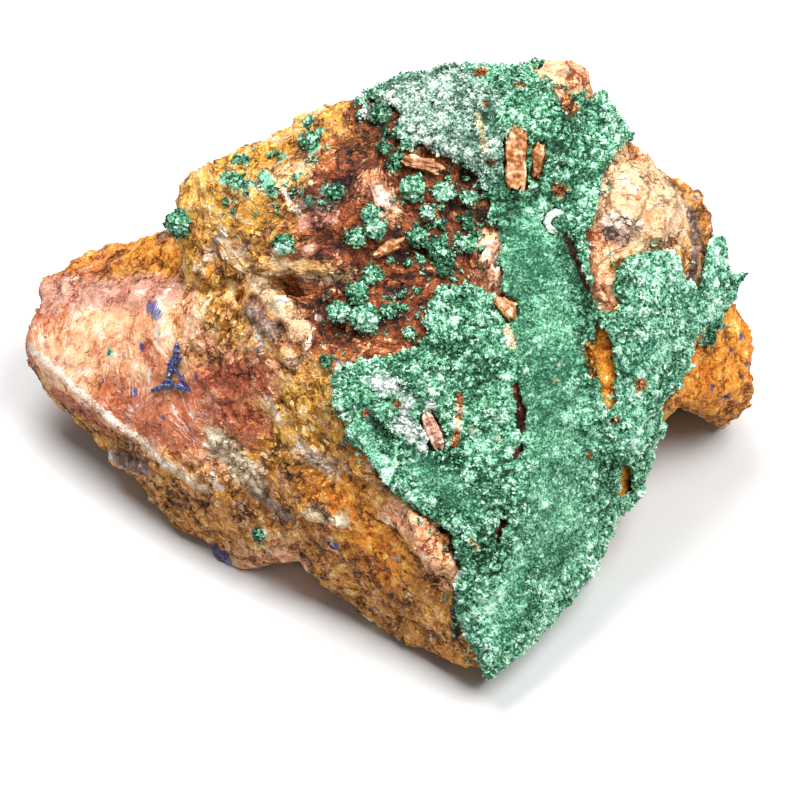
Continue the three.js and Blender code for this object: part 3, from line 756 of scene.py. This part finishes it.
def rosette_tufts():
    """Loose rosettes on the rock with small tufts about each, tufts on the rock's dots of
    malachite, and crumbs. A spot is its place in the picture, its radius and whether it
    stands on a rosette of the solid."""
    spots = [(PICTURE / 2 + right * PICTURE / SEEN_WIDTH, PICTURE / 2 - up * PICTURE / SEEN_WIDTH,
              size, True) for right, up, size in ROSETTES]
    spots += [(x, y, radius * DOT_TUFT, False) for *_, x, y, radius in ROCK_ZONES["malachite"]]
    for x, y, size, _ in spots[:len(ROSETTES)]:
        for _ in range(3):
            turn, reach = random.uniform(0, math.tau), size * random.uniform(0.8, 1.4)
            spots.append((x + reach * math.cos(turn) * PICTURE / SEEN_WIDTH,
                          y + reach * math.sin(turn) * PICTURE / SEEN_WIDTH,
                          size * random.uniform(0.2, 0.45), False))
    for count, left, right, top, bottom, largest in LOOSE_CRUMBS:
        for _ in range(count):
            spots.append((random.uniform(left, right), random.uniform(top, bottom),
                          largest * random.uniform(0.15, 1.0) ** 1.5, False))
    rows = []
    for x, y, size, on_solid in spots:
        point, normal = landing(ROCK_TREE, x, y)
        if point is None or landing(CRUST_TREE, x, y)[0] is not None:
            continue
        middle = point - (0.7 * size * normal if on_solid else Vector())
        shade = random.normal(-0.2, 0.12)
        rows += tuft(middle, normal, size * 0.9, shade, max(CRUMB_FLAKES, int(50 * size * size)))
    return rows


def crumbs_beside_crust():
    """Crumbs on the rock that thin out away from the crust."""
    rows = []
    centres, facing, _ = scatter(rock_mesh, CRUMBS_TRIED, lambda *_: 1.0)
    for centre, normal in zip(centres, facing):
        centre, normal = Vector(centre), Vector(normal)
        distance = CRUST_TREE.find_nearest(centre)[3]
        near = math.exp(-distance / CRUMB_SPREAD)
        if covered_by(CRUST_TREE, centre, normal, CRUST_OVER, 0.05) or distance >= LAST_CRUMB:
            continue
        if random.random() < near:
            size = random.uniform(*CRUMB_RADII) * (0.5 + 0.5 * near)
            rows += tuft(centre, normal, size, random.normal(-0.1, 0.1), CRUMB_FLAKES)
    return rows


tufts = tufts_of_flakes("malachite_tufts", CRUST_TREE, crust_tufts())
rosettes = tufts_of_flakes("malachite_rosettes", ROCK_TREE, rosette_tufts())
crumbs = tufts_of_flakes("malachite_crumbs", CRUST_TREE, crumbs_beside_crust())


# Chips of the rock

def above_ground(centres, facing):
    return np.where(centres[:, 2] > 1.0, 1.0, 0.0)


centres, facing, _ = free_places(rock_mesh, *CHIPS, above_ground, CRUST_TREE, CRUST_OVER_CHIPS)
radius = random.uniform(*CHIP_RADII, len(centres))
sizes = radius[:, None] * FLAKE * random.uniform(0.7, 1.4, (len(centres), 3))
chips, owners = strewn("rock_chips", centres, tilted(facing, 0.2), sizes)
relief = random.normal(0.25, 0.3, len(centres))
at, _, _ = spray_coordinates(centres)
write_values(chips.data, rock_values(centres, at, relief, np.zeros(len(centres))), owners)


# Laths of barite that lie on the broken rock, as their sprays run

def broken_rock(centres, facing):
    broken = zone_field(centres, ROCK_TREE, BROKEN_PARTS)
    smooth = zone_field(centres, ROCK_TREE, SMOOTH_FACES)
    wanted = np.where(broken > 0, 1.0, 0.1) * np.where(smooth > -0.2, 0.1, 1.0)
    return above_ground(centres, facing) * wanted


centres, facing, _ = free_places(rock_mesh, *SPLINTERS, broken_rock, CRUST_TREE, CRUST_OVER_CHIPS)
at, _, along = spray_coordinates(centres)
length = random.uniform(*SPLINTER_LENGTHS, len(centres))
width = length * random.uniform(0.25, 0.5, len(centres))
sizes = np.stack([width, length, random.uniform(*SPLINTER_THICKNESSES, len(centres))], axis=1)
facing = tilted(facing, 0.14)
along = along + 0.15 * random.normal(size=along.shape)
splinters, owners = strewn("barite_splinters", centres, facing, sizes, along)
relief = random.normal(0.3, 0.3, len(centres))
write_values(splinters.data, rock_values(centres, at, relief, np.zeros(len(centres))), owners)


# Barite blades, azurite and the pale crystal

def lath_bundle(node):
    """A flat crystal that splits into laths along its length, with ragged ends."""
    mesh = remeshed(node, node + "_laths", BLADE_PITCH, 3)
    points = mesh_points(mesh)
    middle = points.mean(axis=0)
    _, directions = np.linalg.eigh(np.cov((points - middle).T))
    directions = directions[:, ::-1]
    # along the crystal's length, its width and its thickness
    local = (points - middle) @ directions
    seed = middle.sum()
    rise = np.array([
        0.34 * noise.noise(Vector((a * 0.4, b * 2.2, seed))) - 0.1
        + 0.16 * noise.noise(Vector((a * 0.9, b * 6, c * 3 + seed)))
        + 0.16 * noise.noise(Vector((a * 2.2, b * 2.2, c * 2.2)))
        for a, b, c in local
    ])
    split = np.array([noise.noise(Vector((b * 2.4, c * 1.5, seed + 9))) for _, b, c in local])
    half = np.abs(local[:, 0]).max()
    near_end = np.clip(np.abs(local[:, 0]) / half - 0.5, 0, 0.5) * 2
    points = points + mesh_normals(mesh) * rise[:, None]
    points += (np.sign(local[:, 0]) * near_end * (split - 0.1) * 1.5)[:, None] * directions[:, 0]
    move_points(mesh, points)
    pale = zone_field(points, ROCK_TREE, PALE_BARITE)
    write_values(mesh, {"along": local, "pale": pale, "relief": rise})
    return new_piece(node + "_laths", mesh)


def lumpy_crystals(node, name, pitch, width, height):
    """A group of crystals whose tips stand up as lumps."""
    mesh = remeshed(node, name, pitch, 2)
    points = mesh_points(mesh)
    rise = per_point(points, lambda p: height * (lumps(p, width) - 0.4 + 0.5 * noise.noise(p * 3)))
    move_points(mesh, points + mesh_normals(mesh) * rise[:, None])
    write_values(mesh, {"relief": rise})
    return new_piece(name, mesh)


blade_names = sorted(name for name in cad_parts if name.startswith("barite_blade"))
blades = {name: lath_bundle(name) for name in blade_names}
azurite = lumpy_crystals("azurite_spray", "azurite_crystals", AZURITE_PITCH, 0.5, 0.3)
ring = lumpy_crystals("pale_crystal", "pale_crystal_ring", RING_PITCH, 0.7, 0.12)


# Materials

def linear(colour):
    """An sRGB hex colour as linear red, green, blue and alpha."""
    channels = [int(colour[i:i + 2], 16) / 255 for i in (1, 3, 5)]
    return (*[c / 12.92 if c <= 0.04045 else ((c + 0.055) / 1.055) ** 2.4 for c in channels], 1)


def set_inputs(tree, node, inputs):
    """Sets a node's inputs; one that is given a socket is linked to it."""
    for key, value in inputs.items():
        if isinstance(value, bpy.types.NodeSocket):
            tree.links.new(value, node.inputs[key])
        else:
            node.inputs[key].default_value = value


def add(tree, kind, inputs=None, output=0, stops=None, **settings):
    """A node with its settings and links; gives one of its outputs."""
    made = tree.nodes.new("ShaderNode" + kind)
    for key, value in settings.items():
        setattr(made, key, value)
    set_inputs(tree, made, inputs or {})
    if stops:
        elements = made.color_ramp.elements
        while len(elements) < len(stops):
            elements.new(0.5)
        for element, (position, colour) in zip(elements, stops):
            element.position = position
            element.color = linear(colour)
    return made.outputs[output]


def new_material(name):
    material = bpy.data.materials.new(name)
    material.use_nodes = True
    tree = material.node_tree
    return material, tree, tree.nodes["Principled BSDF"]


# Deep, middle, light and glinting colour of each mineral of the rock: the deep one is partly painted
# shade in the hollows and the glinting one a painted glint
TONES = (0.08, 0.42, 0.72, 0.98)
LIMONITE = ("#482709", "#BC741B", "#F4AE4B", "#FFFFDB")
CLEAN_BARITE = ("#6E3E24", "#C08A66", "#ECC8A8", "#FFF6EA")
ROCK_COLOURS = {
    "ochre": ("#7A4A0E", "#DA9422", "#F8CC6C", "#FFF8DC"),
    "goethite": ("#160500", "#622605", "#A85416", "#F6CC9A"),
    "dark_ore_and_shade": ("#0C0503", "#271208", "#502C15", "#A88263"),
    "orange": ("#874409", "#E98414", "#FFBC46", "#FFFFBC"),
    "cream": ("#966844", "#DAB084", "#EED0AC", "#FFF4E4"),
    "salmon": ("#954829", "#EEA06F", "#FFD6A8", "#FFFFFF"),
    "russet": ("#722A14", "#B65A32", "#D8865A", "#FFD4B2"),
    "pink": ("#8A4A38", "#C4806A", "#DEA88E", "#F8DCCC"),
    "violet": ("#3E2A20", "#82604E", "#B09484", "#E6D6CA"),
    "quartz": ("#9A7850", "#DCC09A", "#F2E2C4", "#FFFAF0"),
    "straw": ("#8E5A26", "#DCA662", "#F6D49C", "#FFF6DC"),
    "chalk": ("#8A6A54", "#DCC0AA", "#F8EADE", "#FFFFFF"),
    "malachite": ("#12382A", "#4A9274", "#94D0B0", "#F0FFF8"),
    "azurite": ("#0A1230", "#1E3E84", "#4868A8", "#B0C4E8"),
}
# Minerals whose spots have a crisp edge
CRISP = ("malachite", "azurite", "dark_ore_and_shade", "chalk")

# Deep, middle and light colour of the crust's parts, with the place of the middle one
# as the tone follows the relief, the deep colour is painted shade in the gaps and the light one a
# painted highlight on the tips
CRUST_COLOURS = {
    "deep": ("#0A2417", 0.5, "#2E6A4A", "#86CCA8"),
    "velvet": ("#225A40", 0.45, "#74B891", "#D8FFE8"),
    "mint": ("#246A4A", 0.42, "#92D8B4", "#F4FFF8"),
    "frosted": ("#274838", 0.5, "#8EB09A", "#FFFFFF"),
    "white": ("#8C9C92", 0.45, "#D6DED8", "#FFFFFF"),
    "rust": ("#290F05", 0.5, "#A85C24", "#FFC389"),
    "orange": ("#6F3306", 0.45, "#E98716", "#FFE789"),
    "peach": ("#A86346", 0.45, "#FFC9A1", "#FFFFFF"),
    "gap_and_shade": ("#120602", 0.5, "#4C2610", "#A87848"),
    "blond": ("#8A7A50", 0.5, "#DAD0AC", "#FFFAEC"),
}

# Patterns that follow the sprays: across and up by angle, then along. At 8 mm from a root
# a lath is 0.5 mm wide, 0.8 mm thick and 3 mm long, its lines are 0.2 mm apart, and the
# white hairlines are 1 to 2 mm apart.
LATHS = (16, 10, 0.32)
LINES = (36, 14, 0.5)
HAIRLINES = (9, 4, 0.13)


def iron_stained_barite():
    """Broken rock of barite laths soaked with iron rust: a dull, rough surface with silky
    streaks where the laths lie side by side and small bright cleavage faces."""
    material, tree, shader = new_material("iron_stained_barite")
    place = add(tree, "TexCoord", output="Object")
    spray_at = add(tree, "Attribute", output="Vector", attribute_name="spray")
    relief = add(tree, "Attribute", output="Fac", attribute_name="relief")
    calm = add(tree, "Attribute", output="Fac", attribute_name="calm")
    laths_at = add(tree, "Mapping", {"Vector": spray_at, "Scale": LATHS})
    lath = add(tree, "TexVoronoi", {"Vector": laths_at, "Scale": 1.0}, "Color")
    lath_tone = add(tree, "SeparateXYZ", {0: lath})
    lath_pick = add(tree, "SeparateXYZ", {0: lath}, 1)
    lines_at = add(tree, "Mapping", {"Vector": spray_at, "Scale": LINES})
    streak = add(tree, "TexNoise", {
        "Vector": lines_at, "Scale": 1.0, "Detail": 4.0, "Roughness": 0.7,
    })
    # grit of 0.35 mm, crumbs of 1.3 mm and cloudy stains of 5 mm
    fine, crumbs, clouds = (
        add(tree, "TexNoise", {
            "Vector": place, "Scale": 1 / (size * MM), "Detail": detail, "Roughness": 0.65,
            "Distortion": 0.5,
        })
        for size, detail in ((0.35, 2.0), (1.3, 4.0), (5.0, 4.0))
    )
    mixed = 0.0
    # the relief darkens the hollows and lightens the tops: painted shade and painted light, mixed with
    # real streaks and stains
    for signal, share in ((relief, 0.36), (streak, 0.4), (lath_tone, 0.2), (fine, 1.0),
                          (crumbs, 1.1), (clouds, 0.9)):
        mixed = add(tree, "Math", {0: signal, 1: share, 2: mixed}, operation="MULTIPLY_ADD")
    # a few bent cracks, 5 mm apart, filled with dark iron ore
    shake = add(tree, "TexNoise", {
        "Vector": place, "Scale": 1 / (2.4 * MM), "Detail": 5.0, "Roughness": 0.65,
    }, "Color")
    shake = add(tree, "VectorMath", {0: shake, "Scale": 7 * MM}, operation="SCALE")
    shaken = add(tree, "VectorMath", {0: place, 1: shake})
    to_crack = add(tree, "TexVoronoi", {"Vector": shaken, "Scale": 1 / (5 * MM)}, "Distance",
                   feature="DISTANCE_TO_EDGE")
    crack = add(tree, "MapRange", {
        "Value": to_crack, "From Min": 0.0, "From Max": 0.06, "To Min": -0.7, "To Max": 0.0,
    })
    shattered = add(tree, "MapRange", {"Value": clouds, "From Min": 0.62, "From Max": 0.42})
    crack = add(tree, "Math", {0: crack, 1: shattered}, operation="MULTIPLY")
    mixed = add(tree, "Math", {0: mixed, 1: crack})
    broken_tone = add(tree, "MapRange", {"Value": mixed, "From Min": 1.26, "From Max": 2.38})
    calmed = add(tree, "Math", {0: calm, 1: 0.3}, operation="MULTIPLY")
    tone = add(tree, "Mix", {0: calmed, 2: broken_tone, 3: 0.68})
    # single laths and crumbs of clean barite in the limonite and the ochre
    colour = add(tree, "ValToRGB", {"Fac": tone}, stops=list(zip(TONES, LIMONITE)))
    clean = add(tree, "ValToRGB", {"Fac": tone}, stops=list(zip(TONES, CLEAN_BARITE)))
    fleck = add(tree, "Math", {0: lath_pick, 1: 0.9, 2: fine}, operation="MULTIPLY_ADD")
    fleck = add(tree, "MapRange", {
        "Value": fleck, "From Min": 1.15, "From Max": 1.4, "To Max": 0.75,
    })
    edge = add(tree, "Math", {0: streak, 1: 0.9, 2: crumbs}, operation="MULTIPLY_ADD")
    for zone, tints in ROCK_COLOURS.items():
        if zone == "goethite":
            colour = add(tree, "Mix", {0: fleck, 6: colour, 7: clean}, 2, data_type="RGBA")
        tint = add(tree, "ValToRGB", {"Fac": tone}, stops=list(zip(TONES, tints)))
        field = add(tree, "Attribute", output="Fac", attribute_name=zone)
        torn, low, high = (1.5, 1.5, 1.9) if zone in CRISP else (2.8, 2.1, 2.9)
        ragged = add(tree, "Math", {0: edge, 1: torn, 2: field}, operation="MULTIPLY_ADD")
        mask = add(tree, "MapRange", {
            "Value": ragged, "From Min": low, "From Max": high,
            "To Max": 0.85 if zone == "azurite" else 1.0,
        }, interpolation_type="SMOOTHSTEP")
        colour = add(tree, "Mix", {0: mask, 6: colour, 7: tint}, 2, data_type="RGBA")
    # white hairlines of clean barite that run along the smooth faces, in patches
    hairs_at = add(tree, "Mapping", {"Vector": spray_at, "Scale": HAIRLINES})
    hairs = add(tree, "TexNoise", {
        "Vector": hairs_at, "Scale": 1.0, "Detail": 3.0, "Roughness": 0.6, "Distortion": 0.6,
    })
    off_line = add(tree, "Math", {0: hairs, 1: 0.5}, operation="SUBTRACT")
    off_line = add(tree, "Math", {0: off_line}, operation="ABSOLUTE")
    line = add(tree, "MapRange", {
        "Value": off_line, "From Min": 0.0, "From Max": 0.03, "To Min": 1.3, "To Max": 0.0,
    })
    veined = add(tree, "MapRange", {"Value": clouds, "From Min": 0.42, "From Max": 0.62})
    for share in (calm, veined):
        line = add(tree, "Math", {0: line, 1: share}, operation="MULTIPLY")
    colour = add(tree, "Mix", {0: line, 6: colour, 7: linear("#FFF6EC")}, 2, data_type="RGBA")
    height = fine
    for signal, share in ((streak, 0.45), (crack, 0.8), (crumbs, 1.2), (lath_tone, 0.35)):
        height = add(tree, "Math", {0: signal, 1: share, 2: height}, operation="MULTIPLY_ADD")
    strength = add(tree, "MapRange", {"Value": calm, "To Min": 1.0, "To Max": 0.25})
    bump = add(tree, "Bump", {"Height": height, "Strength": strength, "Distance": 0.35 * MM})
    rough = add(tree, "MapRange", {
        "Value": streak, "From Min": 0.35, "From Max": 0.7, "To Min": 0.8, "To Max": 0.4,
    })
    set_inputs(tree, shader, {
        "Base Color": colour, "Roughness": rough, "Normal": bump, "IOR": 1.6,
        "Specular IOR Level": 0.35,
    })
    return material


def botryoidal_malachite():
    """Velvety crust of malachite needles: small rounded tufts with painted shade, dark green, in the
    gaps and a painted highlight, pale mint, on their tips, with frosted and brown-stained patches."""
    material, tree, shader = new_material("botryoidal_malachite")
    place = add(tree, "TexCoord", output="Object")
    relief = add(tree, "Attribute", output="Fac", attribute_name="relief")
    shade = add(tree, "Attribute", output="Fac", attribute_name="tone")
    # grains of 0.32 mm, ragged edges of 1.1 mm and patches of 4 mm
    fine, edge, patches = (
        add(tree, "TexNoise", {
            "Vector": place, "Scale": 1 / (size * MM), "Detail": detail, "Roughness": rough,
        })
        for size, detail, rough in ((0.32, 3.0, 0.75), (1.1, 5.0, 0.75), (4, 3.0, 0.6))
    )
    sharp = add(tree, "MapRange", {
        "Value": fine, "From Min": 0.34, "From Max": 0.66, "To Min": 0.05, "To Max": 0.95,
    })
    # the relief of the crust and of each flake makes the gaps darker and the tips lighter: painted
    # shade and painted highlight
    mottling_with_painted_light = add(tree, "Math", {0: relief, 1: 1.3, 2: sharp}, operation="MULTIPLY_ADD")
    mottling_with_painted_light = add(tree, "Math", {0: mottling_with_painted_light, 1: shade})
    mottling_with_painted_light = add(tree, "Math", {0: patches, 1: 0.5, 2: mottling_with_painted_light}, operation="MULTIPLY_ADD")
    tone = add(tree, "MapRange", {"Value": mottling_with_painted_light, "From Min": 0.35, "From Max": 1.5})
    colour = add(tree, "ValToRGB", {"Fac": tone}, stops=[
        (0.05, "#123422"), (0.32, "#468A64"), (0.6, "#8ECEA8"), (0.95, "#ECFFF4"),
    ])
    for zone, (deep, at, middle, light) in CRUST_COLOURS.items():
        field = add(tree, "Attribute", output="Fac", attribute_name=zone)
        ragged = add(tree, "Math", {0: edge, 1: 2.4, 2: field}, operation="MULTIPLY_ADD")
        mask = add(tree, "MapRange", {
            "Value": ragged, "From Min": 1.0, "From Max": 1.65,
        }, interpolation_type="SMOOTHSTEP")
        tint = add(tree, "ValToRGB", {"Fac": tone},
                   stops=[(0.05, deep), (at, middle), (0.95, light)])
        colour = add(tree, "Mix", {0: mask, 6: colour, 7: tint}, 2, data_type="RGBA")
    bump = add(tree, "Bump", {"Height": fine, "Strength": 0.7, "Distance": 0.3 * MM})
    set_inputs(tree, shader, {
        "Base Color": colour, "Roughness": 0.75, "Normal": bump, "IOR": 1.66,
        "Specular IOR Level": 0.2,
    })
    return material


def cleaved_barite():
    """Tan and orange barite: glassy cleavage faces with fine lines along the laths."""
    material, tree, shader = new_material("cleaved_barite")
    place = add(tree, "TexCoord", output="Object")
    along = add(tree, "Attribute", output="Vector", attribute_name="along")
    # lines 0.3 mm apart that run the length of the crystal
    lines_at = add(tree, "Mapping", {"Vector": along, "Scale": (0.6, 3, 3)})
    lines = add(tree, "TexNoise", {
        "Vector": lines_at, "Scale": 1.0, "Detail": 4.0, "Roughness": 0.65,
    })
    stain = add(tree, "TexNoise", {
        "Vector": place, "Scale": 1 / (1.5 * MM), "Detail": 5.0, "Roughness": 0.7,
    })
    both = add(tree, "Math", {0: stain, 1: 3.6, 2: lines}, operation="MULTIPLY_ADD")
    tone = add(tree, "MapRange", {"Value": both, "From Min": 1.7, "From Max": 2.95})
    tan = add(tree, "ValToRGB", {"Fac": tone}, stops=[
        (0.05, "#5E2C10"), (0.4, "#A86630"), (0.65, "#D2935E"), (0.95, "#F6DFBC"),
    ])
    pinkish = add(tree, "ValToRGB", {"Fac": tone}, stops=[
        (0.05, "#6E3A2A"), (0.4, "#BC866C"), (0.65, "#DEB6A0"), (0.95, "#FFEEE2"),
    ])
    pale = add(tree, "Attribute", output="Fac", attribute_name="pale")
    ragged = add(tree, "Math", {0: stain, 1: 0.8, 2: pale}, operation="MULTIPLY_ADD")
    mask = add(tree, "MapRange", {"Value": ragged, "From Min": 0.4, "From Max": 0.8})
    colour = add(tree, "Mix", {0: mask, 6: tan, 7: pinkish}, 2, data_type="RGBA")
    bump = add(tree, "Bump", {"Height": lines, "Strength": 0.7, "Distance": 0.2 * MM})
    set_inputs(tree, shader, {
        "Base Color": colour, "Roughness": 0.38, "Normal": bump, "IOR": 1.64,
    })
    return material


def glassy_azurite():
    """Deep blue crystals with glassy faces, with painted shade nearly black in the gaps and a painted
    glint near white on their tops.
    """
    material, tree, shader = new_material("azurite")
    place = add(tree, "TexCoord", output="Object")
    relief = add(tree, "Attribute", output="Fac", attribute_name="relief")
    fine = add(tree, "TexNoise", {
        "Vector": place, "Scale": 1 / (0.45 * MM), "Detail": 3.0, "Roughness": 0.7,
    })
    # low relief is painted dark as shade and high relief near white as a glint
    both = add(tree, "Math", {0: relief, 1: 1.2, 2: fine}, operation="MULTIPLY_ADD")
    tone = add(tree, "MapRange", {"Value": both, "From Min": 0.2, "From Max": 0.95})
    colour = add(tree, "ValToRGB", {"Fac": tone}, stops=[
        (0.05, "#0B0F22"), (0.45, "#28386C"), (0.7, "#4E63A6"), (0.95, "#DBE9FF"),
    ])
    bump = add(tree, "Bump", {"Height": fine, "Strength": 0.8, "Distance": 0.2 * MM})
    set_inputs(tree, shader, {
        "Base Color": colour, "Roughness": 0.25, "Normal": bump, "IOR": 1.73,
    })
    return material


def frosted_calcite():
    """A pale, frosty crystal that lets some light through, with a green cast."""
    material, tree, shader = new_material("frosted_calcite")
    place = add(tree, "TexCoord", output="Object")
    fine = add(tree, "TexNoise", {
        "Vector": place, "Scale": 1 / (0.35 * MM), "Detail": 3.0, "Roughness": 0.7,
    })
    colour = add(tree, "ValToRGB", {"Fac": fine}, stops=[
        (0.3, "#AEC9B7"), (0.5, "#F6FFF8"), (0.7, "#FFFFFF"),
    ])
    bump = add(tree, "Bump", {"Height": fine, "Strength": 0.5, "Distance": 0.2 * MM})
    set_inputs(tree, shader, {
        "Base Color": colour, "Roughness": 0.35, "Normal": bump, "IOR": 1.6,
        "Transmission Weight": 0.25,
    })
    return material


def finished(piece, material, slot, *nodes, flat=False):
    """Gives a piece its finish and its body, and hides the solids that it stands for."""
    if not flat:
        piece.data.shade_smooth()
    piece.data.materials.clear()
    piece.data.materials.append(material)
    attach(piece, "root")
    if nodes:
        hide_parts(*nodes)


rock_material = iron_stained_barite()
malachite_material = botryoidal_malachite()
barite_material = cleaved_barite()
finished(rock, rock_material, "rock", "matrix")
finished(crust, malachite_material, "malachite", "malachite_crust")
for piece in (grains, tufts, rosettes, crumbs):
    finished(piece, malachite_material, "malachite", flat=True)
for piece in (chips, splinters):
    finished(piece, rock_material, "rock", flat=True)
for blade_name, blade in blades.items():
    finished(blade, barite_material, "barite", blade_name)
finished(azurite, glassy_azurite(), "azurite", "azurite_spray")
finished(ring, frosted_calcite(), "pale_mineral", "pale_crystal")


# Floor, light and camera

def white_card():
    """Matt white card: it takes soft shadows and has no gloss."""
    material, tree, shader = new_material("matt_white_card")
    set_inputs(tree, shader, {"Base Color": linear(FLOOR_GREY), "Roughness": 0.9})
    return material


def softbox(name, place, width, power):
    """A square light that points at the specimen."""
    light = bpy.data.lights.new(name, "AREA")
    light.shape = "SQUARE"
    light.size = width * MM
    light.energy = power
    lamp = bpy.data.objects.new(name, light)
    lamp.location = Vector(place) * MM
    lamp.rotation_euler = (TARGET - Vector(place)).to_track_quat("-Z", "Y").to_euler()
    bpy.context.scene.collection.objects.link(lamp)


bm = bmesh.new()
bmesh.ops.create_grid(bm, x_segments=1, y_segments=1, size=FLOOR_REACH * MM)
floor_mesh = bpy.data.meshes.new("floor")
bm.to_mesh(floor_mesh)
bm.free()
floor_mesh.materials.append(white_card())
floor = new_piece("floor", floor_mesh)

world = bpy.data.worlds.new("studio")
world.use_nodes = True
set_inputs(world.node_tree, world.node_tree.nodes["Background"], {
    "Color": linear("#FFFFFF"), "Strength": DAYLIGHT,
})
bpy.context.scene.world = world
for name, place, width, power in SOFTBOXES:
    softbox(name, place, width, power)

camera_data = bpy.data.cameras.new("camera")
camera_data.sensor_width = SENSOR
camera_data.lens = SENSOR * EYE_DISTANCE / SEEN_WIDTH
camera_data.clip_start = 0.01
camera = bpy.data.objects.new("camera", camera_data)
camera.location = EYE * MM
camera.rotation_euler = (TARGET - EYE).to_track_quat("-Z", "Y").to_euler()
bpy.context.scene.collection.objects.link(camera)
bpy.context.scene.camera = camera
bpy.context.scene.view_settings.view_transform = "Standard"
